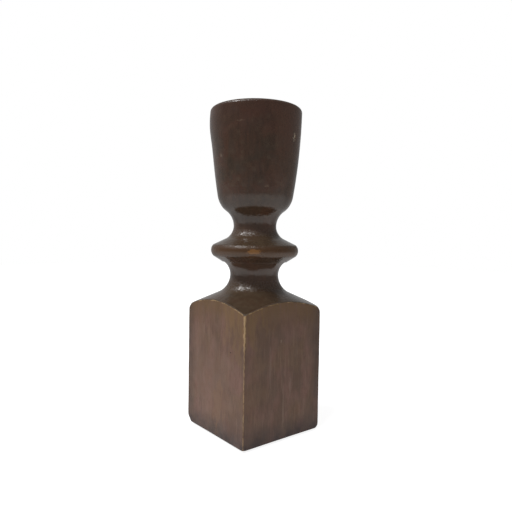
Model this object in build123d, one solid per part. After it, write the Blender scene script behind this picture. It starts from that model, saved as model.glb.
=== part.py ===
from build123d import *
import math
import os

# A turned wooden candlestick about 17 cm tall. A square block of wood runs up into a turned shoulder
# and a waisted neck. A second turning stands on it: a disc, an upper neck and a tapered cup. Its tenon
# is glued into a mortise bored down the block's neck, and the joint is hidden under the disc. The cup's
# mouth is bored for a candle and lined with a thin brass cup, which one small screw holds. A square of
# felt is glued under the block.
#
# Frame: millimetres, +Z up along the turning axis, origin at the centre of the felt's underside. The
# block's flat faces look along X and Y. Heights named ..._HEIGHT are counted from the block's
# underside, and heights named ..._Z from the felt's.

# ---- Driving dimensions ----------------------------------------------------------------------------
# The square block, and the wear of its edges
BLOCK_SIDE = 50.8
SHOULDER_CORNER_HEIGHT = 65.0
ARRIS_RADIUS = 1.0
FOOT_EDGE_RADIUS = 0.8

# The lower neck, turned on the block: one hollow down to the shoulder, one up to the disc
LOWER_NECK_RADIUS = 13.0
LOWER_NECK_HEIGHT = 82.0
SHOULDER_COVE_RADIUS = 10.6
SHOULDER_COVE_SWEEP = 66.0
UNDER_DISC_COVE_RADIUS = 8.4
JOINT_HEIGHT = 89.0

# The disc, which stands out past the neck a little at the joint
JOINT_STEP = 0.7
DISC_RADIUS = 23.5
DISC_MIDDLE_HEIGHT = 95.0
DISC_NOSE_RADIUS = 4.2
DISC_NOSE_HALF_SWEEP = 48.0

# The upper neck: one hollow down to the disc, one up to the cup
UPPER_NECK_RADIUS = 11.5
UPPER_NECK_HEIGHT = 108.0
ABOVE_DISC_COVE_RADIUS = 7.6
ABOVE_DISC_COVE_SWEEP = 62.0
UNDER_CUP_COVE_RADIUS = 9.8
UNDER_CUP_COVE_SWEEP = 55.0

# The cup
CUP_FOOT_RADIUS = 20.3
CUP_FOOT_HEIGHT = 124.0
CUP_RIM_RADIUS = 24.25
CUP_RIM_ROUNDING = 1.5
CUP_TOP_HEIGHT = 170.0
CUP_WALL_BULGE = 0.8

# The glued joint between the two turnings
TENON_RADIUS = 6.0
TENON_LENGTH = 20.0
TENON_CHAMFER = 1.0
GLUE_FILM = 0.05
GLUE_WELL = 2.0

# The brass cup, for a standard candle of 22 mm
CANDLE_BORE_RADIUS = 11.25
LINER_WALL = 0.6
LINER_DEPTH = 24.0
LINER_CORNER_RADIUS = 0.6
LIP_RADIUS = 14.5
LIP_ROUNDING = 0.29
LINER_CLEARANCE = 0.05

# The countersunk wood screw in the brass cup's floor
SCREW_HEAD_RADIUS = 2.7
SCREW_SHANK_RADIUS = 1.4
SCREW_CORE_RADIUS = 1.0
SCREW_LENGTH = 13.0
SCREW_PLAIN_LENGTH = 4.0
SCREW_POINT_LENGTH = 2.4
SCREW_PITCH = 1.2
SCREW_SLOT_WIDTH = 0.7
SCREW_SLOT_DEPTH = 0.7
SCREW_CLEARANCE = 0.02

# The felt
FELT_THICKNESS = 1.0
FELT_SIDE = 45.0
FELT_CORNER_RADIUS = 2.0

# ---- Heights and radii that follow from them ---------------------------------------------------------
BLOCK_Z = FELT_THICKNESS
JOINT_Z = BLOCK_Z + JOINT_HEIGHT
TENON_Z = JOINT_Z - TENON_LENGTH
CUP_TOP_Z = BLOCK_Z + CUP_TOP_HEIGHT
LIP_TOP_Z = CUP_TOP_Z + LINER_WALL
LINER_FLOOR_Z = LIP_TOP_Z - LINER_DEPTH
LINER_OUTER_RADIUS = CANDLE_BORE_RADIUS + LINER_WALL
# The floor is dimpled at 45 degrees round the screw, as deep as the screw's head
DIMPLE_Z = LINER_FLOOR_Z - (SCREW_HEAD_RADIUS - SCREW_SHANK_RADIUS)
SCREW_HOLE_RADIUS = SCREW_SHANK_RADIUS + SCREW_CLEARANCE
DIMPLE_OUTER_RADIUS = SCREW_HOLE_RADIUS + LINER_WALL * math.sqrt(2)


def at(radius, z):
    """A point of an outline, in the XZ plane, that is turned about Z."""
    return Vector(radius, 0, z)


def on_circle(centre, radius, degrees):
    """A point on a circle in the XZ plane, counted from the outward direction towards up."""
    angle = math.radians(degrees)
    return centre + Vector(radius * math.cos(angle), 0, radius * math.sin(angle))


def arc(centre, radius, start, end):
    """A circular arc in the XZ plane between two angles in degrees."""
    return ThreePointArc(*(on_circle(centre, radius, turn) for turn in (start, (start + end) / 2, end)))


def lines(*points):
    """Straight edges through the points, in order."""
    return [Line(a, b) for a, b in zip(points, points[1:])]


def turned(*edges):
    """The solid that a closed outline makes when it is turned about Z."""
    return revolve(make_face(Wire(edges)), axis=Axis.Z)


# ---- The block -------------------------------------------------------------------------------------
def neck_top():
    """The height and radius where the block's neck meets the disc."""
    rise = JOINT_HEIGHT - LOWER_NECK_HEIGHT
    lean = math.sqrt(UNDER_DISC_COVE_RADIUS**2 - rise**2)
    return at(LOWER_NECK_RADIUS + UNDER_DISC_COVE_RADIUS - lean, JOINT_Z)


def neck_and_shoulder():
    """The solid of the lathe's cuts: neck, shoulder, and below it a skirt wider than the block."""
    neck_z = BLOCK_Z + LOWER_NECK_HEIGHT
    high_centre = at(LOWER_NECK_RADIUS + UNDER_DISC_COVE_RADIUS, neck_z)
    low_centre = at(LOWER_NECK_RADIUS + SHOULDER_COVE_RADIUS, neck_z)
    high_cove = ThreePointArc(
        neck_top(),
        on_circle(high_centre, UNDER_DISC_COVE_RADIUS, 150),
        at(LOWER_NECK_RADIUS, neck_z),
    )
    low_cove = arc(low_centre, SHOULDER_COVE_RADIUS, 180, 180 + SHOULDER_COVE_SWEEP)
    corner = at(BLOCK_SIDE / math.sqrt(2), BLOCK_Z + SHOULDER_CORNER_HEIGHT)
    shoulder = TangentArc(low_cove @ 1, corner, tangent=low_cove % 1)
    skirt = corner + shoulder % 1
    rest = lines(corner, skirt, at(skirt.X, 0), at(0, 0), at(0, JOINT_Z), neck_top())
    return turned(high_cove, low_cove, shoulder, *rest)


def base_block():
    """The square block with its turned shoulder and neck, bored from the top for the tenon."""
    standing = (Align.CENTER, Align.CENTER, Align.MIN)
    block = Pos(0, 0, BLOCK_Z) * Box(BLOCK_SIDE, BLOCK_SIDE, JOINT_HEIGHT, align=standing)
    block = fillet(block.edges().filter_by(Axis.Z), ARRIS_RADIUS)
    block = fillet(block.faces().sort_by(Axis.Z)[0].edges(), FOOT_EDGE_RADIUS)
    mortise = Cylinder(TENON_RADIUS, TENON_LENGTH + GLUE_WELL, align=standing)
    return (block & neck_and_shoulder()) - Pos(0, 0, TENON_Z - GLUE_WELL) * mortise


# ---- The stem and cup --------------------------------------------------------------------------------
def disc_and_neck():
    """Outline edges from the joint up round the disc and the upper neck to the cup's underside."""
    nose_centre = at(DISC_RADIUS - DISC_NOSE_RADIUS, BLOCK_Z + DISC_MIDDLE_HEIGHT)
    neck_z = BLOCK_Z + UPPER_NECK_HEIGHT
    low_centre = at(UPPER_NECK_RADIUS + ABOVE_DISC_COVE_RADIUS, neck_z)
    high_centre = at(UPPER_NECK_RADIUS + UNDER_CUP_COVE_RADIUS, neck_z)
    nose = arc(nose_centre, DISC_NOSE_RADIUS, -DISC_NOSE_HALF_SWEEP, DISC_NOSE_HALF_SWEEP)
    low_cove = arc(low_centre, ABOVE_DISC_COVE_RADIUS, 180 + ABOVE_DISC_COVE_SWEEP, 180)
    high_cove = arc(high_centre, UNDER_CUP_COVE_RADIUS, 180, 180 - UNDER_CUP_COVE_SWEEP)
    joint_edge = neck_top() + Vector(JOINT_STEP, 0, 0)
    return [Line(joint_edge, nose @ 0), nose, Line(nose @ 1, low_cove @ 0), low_cove, high_cove]


def cup_outside(underside):
    """Outline edges from the end of the cove under the cup, round its foot and up to its top face."""
    foot = at(CUP_FOOT_RADIUS, BLOCK_Z + CUP_FOOT_HEIGHT)
    rim_low = at(CUP_RIM_RADIUS, CUP_TOP_Z - CUP_RIM_ROUNDING)
    rim_high = at(CUP_RIM_RADIUS - CUP_RIM_ROUNDING, CUP_TOP_Z)
    rise = (rim_low - foot).normalized()
    outward = Vector(rise.Z, 0, -rise.X)
    wall = ThreePointArc(foot, (foot + rim_low) / 2 + outward * CUP_WALL_BULGE, rim_low)
    foot_round = Spline(underside @ 1, foot, tangents=[underside % 1, wall % 0])
    return [foot_round, wall, TangentArc(rim_low, rim_high, tangent=wall % 1)]


def screw_shaft(clearance=0.0):
    """The screw below its head, as ring-shaped threads on a core, or the hole that it makes."""
    shank = SCREW_SHANK_RADIUS + clearance
    core = SCREW_CORE_RADIUS + clearance
    thread_z = LINER_FLOOR_Z - SCREW_PLAIN_LENGTH
    tip_z = LINER_FLOOR_Z - SCREW_LENGTH
    turns = int((thread_z - tip_z - SCREW_POINT_LENGTH) / SCREW_PITCH)
    threads = [at(shank, thread_z)]
    for turn in range(turns):
        threads += [
            at(core, thread_z - (turn + 0.25) * SCREW_PITCH),
            at(shank, thread_z - (turn + 0.75) * SCREW_PITCH),
        ]
    root = at(core, tip_z + SCREW_POINT_LENGTH)
    top = at(0, DIMPLE_Z)
    return turned(*lines(top, at(shank, DIMPLE_Z), *threads, root, at(0, tip_z - clearance), top))


def stem_and_cup():
    """Tenon, disc, upper neck and cup in one turning, bored for the brass cup and its screw."""
    tenon = TENON_RADIUS - GLUE_FILM
    bore = LINER_OUTER_RADIUS + LINER_CLEARANCE
    floor_z = LINER_FLOOR_Z - LINER_WALL
    dimple = DIMPLE_OUTER_RADIUS + LINER_CLEARANCE
    neck = disc_and_neck()
    cup = cup_outside(neck[-1])
    foot = lines(
        at(0, TENON_Z),
        at(tenon - TENON_CHAMFER, TENON_Z),
        at(tenon, TENON_Z + TENON_CHAMFER),
        at(tenon, JOINT_Z),
        neck[0] @ 0,
    )
    inside = lines(
        cup[-1] @ 1,
        at(bore, CUP_TOP_Z),
        at(bore, floor_z),
        at(dimple + floor_z - DIMPLE_Z, floor_z),
        at(dimple, DIMPLE_Z),
        at(0, DIMPLE_Z),
        at(0, TENON_Z),
    )
    return turned(*foot, *neck, *cup, *inside) - screw_shaft(SCREW_CLEARANCE)


# ---- The brass cup, its screw and the felt -------------------------------------------------------------
def brass_liner():
    """A thin drawn cup with a flat lip that rests on the wood, and a dimple in its floor."""
    floor_bottom = LINER_FLOOR_Z - LINER_WALL
    dimple_top = SCREW_HOLE_RADIUS + LINER_FLOOR_Z - DIMPLE_Z
    shell = turned(*lines(
        at(SCREW_HOLE_RADIUS, DIMPLE_Z),
        at(DIMPLE_OUTER_RADIUS, DIMPLE_Z),
        at(DIMPLE_OUTER_RADIUS + floor_bottom - DIMPLE_Z, floor_bottom),
        at(LINER_OUTER_RADIUS, floor_bottom),
        at(LINER_OUTER_RADIUS, CUP_TOP_Z),
        at(LIP_RADIUS, CUP_TOP_Z),
        at(LIP_RADIUS, LIP_TOP_Z),
        at(CANDLE_BORE_RADIUS, LIP_TOP_Z),
        at(CANDLE_BORE_RADIUS, LINER_FLOOR_Z),
        at(dimple_top, LINER_FLOOR_Z),
        at(SCREW_HOLE_RADIUS, DIMPLE_Z),
    ))

    def ring(radius, z):
        """The shell's round edge of that radius at that height."""
        circles = shell.edges().filter_by(GeomType.CIRCLE)
        return min(circles, key=lambda edge: abs(edge.radius - radius) + abs(edge.arc_center.Z - z))

    shell = fillet(ring(CANDLE_BORE_RADIUS, LINER_FLOOR_Z), LINER_CORNER_RADIUS)
    shell = fillet(ring(LINER_OUTER_RADIUS, floor_bottom), LINER_CORNER_RADIUS + LINER_WALL)
    for radius, z in (
        (CANDLE_BORE_RADIUS, LIP_TOP_Z),
        (LIP_RADIUS, LIP_TOP_Z),
        (LIP_RADIUS, CUP_TOP_Z),
    ):
        shell = fillet(ring(radius, z), LIP_ROUNDING)
    return shell


def liner_screw():
    """A slotted countersunk brass wood screw, its head flush with the brass cup's floor."""
    head = turned(*lines(
        at(0, DIMPLE_Z),
        at(SCREW_SHANK_RADIUS, DIMPLE_Z),
        at(SCREW_HEAD_RADIUS, LINER_FLOOR_Z),
        at(0, LINER_FLOOR_Z),
        at(0, DIMPLE_Z),
    ))
    slot = Box(2 * SCREW_HEAD_RADIUS, SCREW_SLOT_WIDTH, 2 * SCREW_SLOT_DEPTH)
    return head + screw_shaft() - Pos(0, 0, LINER_FLOOR_Z) * slot


def felt_pad():
    """A square of felt with rounded corners, glued a little inside the edges of the underside."""
    return extrude(RectangleRounded(FELT_SIDE, FELT_SIDE, FELT_CORNER_RADIUS), FELT_THICKNESS)


os.makedirs("parts", exist_ok=True)
for make_piece in (base_block, stem_and_cup, brass_liner, liner_screw, felt_pad):
    export_step(make_piece(), f"parts/{make_piece.__name__}.step")
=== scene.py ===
import math

import bpy
import numpy as np
from mathutils import Matrix, Vector, noise


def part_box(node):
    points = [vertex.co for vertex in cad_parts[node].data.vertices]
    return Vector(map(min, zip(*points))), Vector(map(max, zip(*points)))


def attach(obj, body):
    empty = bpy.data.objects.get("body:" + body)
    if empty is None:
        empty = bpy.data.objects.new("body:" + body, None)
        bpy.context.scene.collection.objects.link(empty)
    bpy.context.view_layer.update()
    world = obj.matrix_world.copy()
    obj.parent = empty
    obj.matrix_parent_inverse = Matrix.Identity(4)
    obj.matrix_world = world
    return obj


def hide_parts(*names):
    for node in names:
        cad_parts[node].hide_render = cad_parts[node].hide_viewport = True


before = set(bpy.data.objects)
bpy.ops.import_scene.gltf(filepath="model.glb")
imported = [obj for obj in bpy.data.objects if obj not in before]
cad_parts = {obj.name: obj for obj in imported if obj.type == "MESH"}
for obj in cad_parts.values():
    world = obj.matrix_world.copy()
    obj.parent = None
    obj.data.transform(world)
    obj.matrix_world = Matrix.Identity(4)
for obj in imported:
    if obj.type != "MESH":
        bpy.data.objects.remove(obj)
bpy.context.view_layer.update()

# A turned wooden candlestick, in metres, in the frame of the CAD model: +Z up, origin under the felt.
# The two wooden pieces, the brass cup and the felt are built here in finer detail than the CAD's, and
# inside its box. The screw keeps its CAD shape.

MM = 0.001

# ---- Sizes, as in the CAD model ----
BLOCK_LOW, BLOCK_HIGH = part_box("base_block")
STEM_LOW, STEM_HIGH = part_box("stem_and_cup")
LINER_LOW, LINER_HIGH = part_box("brass_liner")
FELT_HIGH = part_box("felt_pad")[1]
SCREW_HEAD_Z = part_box("liner_screw")[1].z
BLOCK_Z = BLOCK_LOW.z
BLOCK_HALF = BLOCK_HIGH.x
JOINT_Z = BLOCK_HIGH.z
TENON_Z = STEM_LOW.z
CUP_TOP_Z = STEM_HIGH.z

SHOULDER_CORNER = (BLOCK_HALF * math.sqrt(2), BLOCK_Z + 65.0 * MM)
LOWER_NECK_RADIUS = 13.0 * MM
LOWER_NECK_Z = BLOCK_Z + 82.0 * MM
SHOULDER_COVE_RADIUS = 10.6 * MM
SHOULDER_COVE_SWEEP = 66.0
UNDER_DISC_COVE_RADIUS = 8.4 * MM
JOINT_STEP = 0.7 * MM

DISC_RADIUS = 23.5 * MM
DISC_MIDDLE_Z = BLOCK_Z + 95.0 * MM
DISC_NOSE_RADIUS = 4.2 * MM
DISC_NOSE_HALF_SWEEP = 48.0

UPPER_NECK_RADIUS = 11.5 * MM
UPPER_NECK_Z = BLOCK_Z + 108.0 * MM
ABOVE_DISC_COVE_RADIUS = 7.6 * MM
ABOVE_DISC_COVE_SWEEP = 62.0
UNDER_CUP_COVE_RADIUS = 9.8 * MM
UNDER_CUP_COVE_SWEEP = 55.0

CUP_FOOT = (20.3 * MM, BLOCK_Z + 124.0 * MM)
CUP_RIM_RADIUS = 24.25 * MM
CUP_WALL_BULGE = 0.8 * MM

TENON_RADIUS = 5.95 * MM
TENON_CHAMFER = 1.0 * MM
MORTISE_RADIUS = 6.0 * MM
GLUE_WELL = 2.0 * MM
WOOD_BORE_RADIUS = 11.9 * MM
WOOD_BORE_Z = CUP_TOP_Z - 24.0 * MM
WOOD_HOLE_RADIUS = 1.42 * MM
WOOD_HOLE_DEPTH = 12.4 * MM
WOOD_DIMPLE_RADIUS = 2.35 * MM

LINER_BORE_RADIUS = 11.25 * MM
LINER_WALL = 0.6 * MM
LINER_FLOOR_Z = WOOD_BORE_Z + LINER_WALL
LINER_CORNER_RADIUS = 0.6 * MM
LIP_ROUNDING = 0.29 * MM
LINER_HOLE_RADIUS = 1.42 * MM
DIMPLE_DEPTH = LINER_FLOOR_Z - LINER_LOW.z
DIMPLE_CLEARANCE = 0.1 * MM

FELT_CORNER_RADIUS = 2.0 * MM

# ---- Fineness of the meshes ----
LATHE_COLUMNS = 300
LATHE_STEP = 0.7 * MM
# Points of an outline stand this close to each corner that turns by more than SHARP_TURN degrees
EDGE_GUARD = 0.12 * MM
SHARP_TURN = 8.0
BLOCK_COLUMNS_PER_SIDE = 96
ARRIS_CROWDING = 0.55
SIDE_RINGS = 90
SHOULDER_RINGS = 30
EDGE_RINGS = 8
FELT_COLUMNS = 240
# The longest step along outlines that can't be seen, and how close two points count as one
HIDDEN_STEP = 4 * MM
SAME_POINT = 0.01 * MM
# How far the noise moves for each seed
SEED_SHIFT = (17.31, 5.17, 9.73)

# ---- Wear of the edges ----
ARRIS_RADIUS = 0.45 * MM
ARRIS_WANDER = 0.15 * MM
ARRIS_WANDER_SIZE = 7 * MM
FOOT_ROUNDING = 0.6 * MM
ARCH_ROUNDING = 0.35 * MM
CUP_RIM_ROUNDING = 2.1 * MM
FELT_EDGE_ROUNDING = 0.25 * MM
# Corners knocked round in use: the signs of X and Y, 1 for an upper corner, and how deep the knock is
KNOCKS = (
    (-1, 1, -1, 1.9 * MM),
    (1, -1, -1, 1.0 * MM),
    (-1, -1, -1, 0.7 * MM),
    (-1, -1, 1, 0.7 * MM),
    (1, 1, -1, 0.9 * MM),
    (1, -1, 1, 0.9 * MM),
    (-1, 1, 1, 1.1 * MM),
    (1, 1, 1, 0.5 * MM),
)
KNOCK_SOFTNESS = 0.25 * MM
KNOCK_REACH = 9 * MM


# ---- Outlines in the (radius, height) plane ----
def arc(centre, radius, start, end, steps=20):
    """Points of an arc, its angles in degrees counted from outward towards up."""
    turns = np.radians(np.linspace(start, end, steps))
    return np.stack([centre[0] + radius * np.cos(turns), centre[1] + radius * np.sin(turns)], axis=1)


def bowed(start, end, bulge, steps=40):
    """Points of a shallow arc from start to end that swells outward by bulge at its middle."""
    share = np.linspace(0, 1, steps)[:, None]
    start, end = np.array(start), np.array(end)
    along = (end - start) / np.linalg.norm(end - start)
    outward = np.array([along[1], -along[0]])
    return start + share * (end - start) + 4 * share * (1 - share) * bulge * outward


def hermite(start, end, leave, arrive, steps=16):
    """Points of a smooth curve from start to end with the given directions at its ends."""
    share = np.linspace(0, 1, steps)[:, None]
    start, end = np.array(start), np.array(end)
    reach = np.linalg.norm(end - start)
    leave = reach * np.array(leave) / np.linalg.norm(leave)
    arrive = reach * np.array(arrive) / np.linalg.norm(arrive)
    return (
        (2 * share**3 - 3 * share**2 + 1) * start
        + (share**3 - 2 * share**2 + share) * leave
        + (3 * share**2 - 2 * share**3) * end
        + (share**3 - share**2) * arrive
    )


def outline(*stretches, step=LATHE_STEP):
    """One list of points from several, with close points beside each sharp corner and no long gaps."""
    points = np.vstack([np.atleast_2d(stretch) for stretch in stretches])
    keep = np.r_[True, np.linalg.norm(np.diff(points, axis=0), axis=1) > SAME_POINT]
    points = points[keep]
    guarded = [points[0]]
    for before, point, after in zip(points, points[1:], points[2:]):
        into, out = point - before, after - point
        into_length, out_length = np.linalg.norm(into), np.linalg.norm(out)
        if into @ out < math.cos(math.radians(SHARP_TURN)) * into_length * out_length:
            gap = min(EDGE_GUARD, into_length / 3, out_length / 3)
            guarded += [point - gap * into / into_length, point, point + gap * out / out_length]
        else:
            guarded.append(point)
    guarded.append(points[-1])
    filled = [guarded[0]]
    for start, end in zip(guarded, guarded[1:]):
        pieces = max(1, math.ceil(np.linalg.norm(end - start) / step))
        filled += [start + (end - start) * share / pieces for share in range(1, pieces + 1)]
    return np.array(filled)


def lower_neck_outline():
    """From the end of the shoulder's slope, in round the neck and out to the joint under the disc."""
    cove_centre = (LOWER_NECK_RADIUS + SHOULDER_COVE_RADIUS, LOWER_NECK_Z)
    disc_centre = (LOWER_NECK_RADIUS + UNDER_DISC_COVE_RADIUS, LOWER_NECK_Z)
    joint_turn = math.degrees(math.asin((JOINT_Z - LOWER_NECK_Z) / UNDER_DISC_COVE_RADIUS))
    return outline(
        arc(cove_centre, SHOULDER_COVE_RADIUS, 180 + SHOULDER_COVE_SWEEP, 180),
        arc(disc_centre, UNDER_DISC_COVE_RADIUS, 180, 180 - joint_turn),
    )


def mortise_outline():
    """From the block's top down the bored hole to its floor."""
    floor_z = TENON_Z - GLUE_WELL
    return outline(
        (MORTISE_RADIUS + EDGE_GUARD, JOINT_Z),
        (MORTISE_RADIUS, JOINT_Z),
        (MORTISE_RADIUS, floor_z),
        (MORTISE_RADIUS / 2, floor_z),
        step=HIDDEN_STEP,
    )


def stem_outline():
    """The whole outline of the upper turning, from the tenon's foot up the outside and down the bore."""
    neck_top = lower_neck_outline()[-1]
    nose_centre = (DISC_RADIUS - DISC_NOSE_RADIUS, DISC_MIDDLE_Z)
    low_centre = (UPPER_NECK_RADIUS + ABOVE_DISC_COVE_RADIUS, UPPER_NECK_Z)
    high_centre = (UPPER_NECK_RADIUS + UNDER_CUP_COVE_RADIUS, UPPER_NECK_Z)
    high_cove = arc(high_centre, UNDER_CUP_COVE_RADIUS, 180, 180 - UNDER_CUP_COVE_SWEEP)
    rim_low = (CUP_RIM_RADIUS, CUP_TOP_Z - CUP_RIM_ROUNDING)
    rim_centre = (CUP_RIM_RADIUS - CUP_RIM_ROUNDING, CUP_TOP_Z - CUP_RIM_ROUNDING)
    wall = bowed(CUP_FOOT, rim_low, CUP_WALL_BULGE)
    lean = math.radians(90 - UNDER_CUP_COVE_SWEEP)
    tenon = outline(
        (TENON_RADIUS - TENON_CHAMFER, TENON_Z),
        (TENON_RADIUS, TENON_Z + TENON_CHAMFER),
        (TENON_RADIUS, JOINT_Z),
        step=HIDDEN_STEP,
    )
    outside = outline(
        (TENON_RADIUS, JOINT_Z),
        (neck_top[0] + JOINT_STEP, JOINT_Z),
        arc(nose_centre, DISC_NOSE_RADIUS, -DISC_NOSE_HALF_SWEEP, DISC_NOSE_HALF_SWEEP),
        arc(low_centre, ABOVE_DISC_COVE_RADIUS, 180 + ABOVE_DISC_COVE_SWEEP, 180),
        high_cove,
        hermite(high_cove[-1], CUP_FOOT, (math.cos(lean), math.sin(lean)), wall[1] - wall[0]),
        wall,
        arc(rim_centre, CUP_RIM_ROUNDING, 0, 90),
        (WOOD_BORE_RADIUS, CUP_TOP_Z),
    )
    bore = outline(
        (WOOD_BORE_RADIUS, CUP_TOP_Z),
        (WOOD_BORE_RADIUS, WOOD_BORE_Z),
        (WOOD_DIMPLE_RADIUS + LINER_WALL, WOOD_BORE_Z),
        (WOOD_DIMPLE_RADIUS, LINER_LOW.z),
        (WOOD_HOLE_RADIUS, LINER_LOW.z),
        (WOOD_HOLE_RADIUS, WOOD_BORE_Z - WOOD_HOLE_DEPTH),
        (WOOD_HOLE_RADIUS / 2, WOOD_BORE_Z - WOOD_HOLE_DEPTH),
        step=HIDDEN_STEP,
    )
    return np.vstack([tenon, outside[1:], bore[1:]])


def liner_outline():
    """The brass cup's closed outline: under its floor, up its outside, over the lip and down the bore."""
    inner_corner = (LINER_BORE_RADIUS - LINER_CORNER_RADIUS, LINER_FLOOR_Z + LINER_CORNER_RADIUS)
    lip_radius, lip_z = LINER_HIGH.x, LINER_HIGH.z
    lip_top_z, lip_under_z = lip_z - LIP_ROUNDING, CUP_TOP_Z + LIP_ROUNDING
    hole_lip = LINER_HOLE_RADIUS + DIMPLE_DEPTH
    return outline(
        (WOOD_DIMPLE_RADIUS - DIMPLE_CLEARANCE, LINER_LOW.z),
        (WOOD_DIMPLE_RADIUS + LINER_WALL, WOOD_BORE_Z),
        arc(inner_corner, LINER_CORNER_RADIUS + LINER_WALL, -90, 0, steps=8),
        (LINER_BORE_RADIUS + LINER_WALL, CUP_TOP_Z),
        arc((lip_radius - LIP_ROUNDING, lip_under_z), LIP_ROUNDING, -90, 0, steps=8),
        arc((lip_radius - LIP_ROUNDING, lip_top_z), LIP_ROUNDING, 0, 90, steps=8),
        arc((LINER_BORE_RADIUS + LIP_ROUNDING, lip_top_z), LIP_ROUNDING, 90, 180, steps=8),
        arc(inner_corner, LINER_CORNER_RADIUS, 0, -90, steps=8),
        (hole_lip, LINER_FLOOR_Z),
        (LINER_HOLE_RADIUS, LINER_LOW.z),
    )


# ---- Meshes ----
def soft_noise(points, size, seed):
    """Smooth noise from about -1 to 1 at each point. size is one length, or three along the axes."""
    shift = Vector(SEED_SHIFT) * seed
    places = (points / np.array(size)).reshape(-1, 3)
    return np.array([noise.noise(Vector(place) + shift) for place in places]).reshape(points.shape[:-1])


def uneven(points, height, size, seed):
    """Depths that wander smoothly from 0 to about twice the height."""
    return height * (1 + soft_noise(points, size, seed))


def bump_at(points, centre, reach):
    """1 at the centre, falling softly to 0 round it. reach is one length, or three along the axes."""
    return np.exp(-(((points - np.array(centre)) / np.array(reach)) ** 2).sum(axis=-1))


def on_turning(radius, degrees, height):
    """A point on a turned surface, its angle counted from +X towards +Y."""
    angle = math.radians(degrees)
    return (radius * math.cos(angle), radius * math.sin(angle), height)


def turned_rows(profile):
    """Rings of points from an outline turned about Z."""
    turns = np.linspace(0, 2 * math.pi, LATHE_COLUMNS, endpoint=False)
    radius, height = profile[:, :1], profile[:, 1:]
    return np.stack([radius * np.cos(turns), radius * np.sin(turns), height + 0 * turns], axis=-1)


def pressed(rows, depth):
    """The rings of points, each point moved into the solid by its own depth."""
    along = np.gradient(rows, axis=0)
    around = np.roll(rows, -1, axis=1) - np.roll(rows, 1, axis=1)
    outward = np.cross(around, along)
    outward /= np.linalg.norm(outward, axis=-1, keepdims=True) + 1e-12
    return rows - outward * np.maximum(depth, 0)[..., None]


def ring_mesh(name, rows, measures=None, looped=False):
    """A closed, smooth mesh from rings of points, as an array of rings, columns and coordinates.

    The first and last ring are filled in, or joined to each other if the rings make a loop. measures holds
    more facts about each point, which the materials read.
    """
    rings, columns = rows.shape[:2]
    spans = rings if looped else rings - 1
    ring, column = np.meshgrid(np.arange(spans), np.arange(columns), indexing="ij")
    here, above = ring * columns, (ring + 1) % rings * columns
    beside = (column + 1) % columns
    faces = np.stack([here + column, here + beside, above + beside, above + column], axis=-1)
    faces = faces.reshape(-1, 4).tolist()
    vertices = rows.reshape(-1, 3)
    if not looped:
        vertices = np.vstack([vertices, rows[0].mean(axis=0), rows[-1].mean(axis=0)])
        bottom, top, last = rings * columns, rings * columns + 1, (rings - 1) * columns
        faces += [[(turn + 1) % columns, turn, bottom] for turn in range(columns)]
        faces += [[last + turn, last + (turn + 1) % columns, top] for turn in range(columns)]
    mesh = bpy.data.meshes.new(name)
    mesh.from_pydata(vertices.tolist(), [], faces)
    mesh.polygons.foreach_set("use_smooth", [True] * len(mesh.polygons))
    for label, values in (measures or {}).items():
        full = values.reshape(-1) if looped else np.r_[values.reshape(-1), values[0, 0], values[-1, 0]]
        mesh.attributes.new(label, "FLOAT", "POINT").data.foreach_set("value", full.astype(np.float32))
    piece = bpy.data.objects.new(name, mesh)
    bpy.context.scene.collection.objects.link(piece)
    return piece


# ---- The block ----
def column_turns():
    """The angles of the block's mesh columns, closer together at the four upright edges."""
    even = np.linspace(-1, 1, BLOCK_COLUMNS_PER_SIDE, endpoint=False)
    across = ARRIS_CROWDING * np.sin(even * math.pi / 2) + (1 - ARRIS_CROWDING) * even
    side = np.arctan(across)
    return np.concatenate([side + quarter * math.pi / 2 for quarter in range(4)])


def rounded_square(turns, half, rounding):
    """How far the outline of a square with rounded corners is from its middle at each angle."""
    along, across = np.abs(np.cos(turns)), np.abs(np.sin(turns))
    inset = half - rounding
    flat = half / np.maximum(along, across)
    under_root = np.maximum(rounding**2 - (inset * (along - across)) ** 2, 0)
    round_corner = inset * (along + across) + np.sqrt(under_root)
    return np.where(flat * np.minimum(along, across) > inset, round_corner, flat)


def block_radius(turns, heights):
    """How far the block's wall is from the axis at each angle and height, with its worn upright edges."""
    quarter = np.floor(turns / (math.pi / 2) + 1e-9) % 4
    places = np.stack([heights, quarter * BLOCK_HALF, 0 * heights], axis=-1)
    rounding = ARRIS_RADIUS + ARRIS_WANDER * soft_noise(places, ARRIS_WANDER_SIZE, seed=1)
    return rounded_square(turns, BLOCK_HALF, rounding)


def knocked(points):
    """The points with each knocked corner of the block softly cut back."""
    for x, y, z, depth in KNOCKS:
        outward = np.array([x, y, z]) / math.sqrt(3)
        corner_z = SHOULDER_CORNER[1] if z > 0 else BLOCK_Z
        corner = np.array([x * BLOCK_HALF, y * BLOCK_HALF, corner_z])
        past = (points - corner) @ outward + depth
        cut = KNOCK_SOFTNESS * np.logaddexp(0, past / KNOCK_SOFTNESS)
        points = points - (cut * bump_at(points, corner, KNOCK_REACH))[..., None] * outward
    return points


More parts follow.
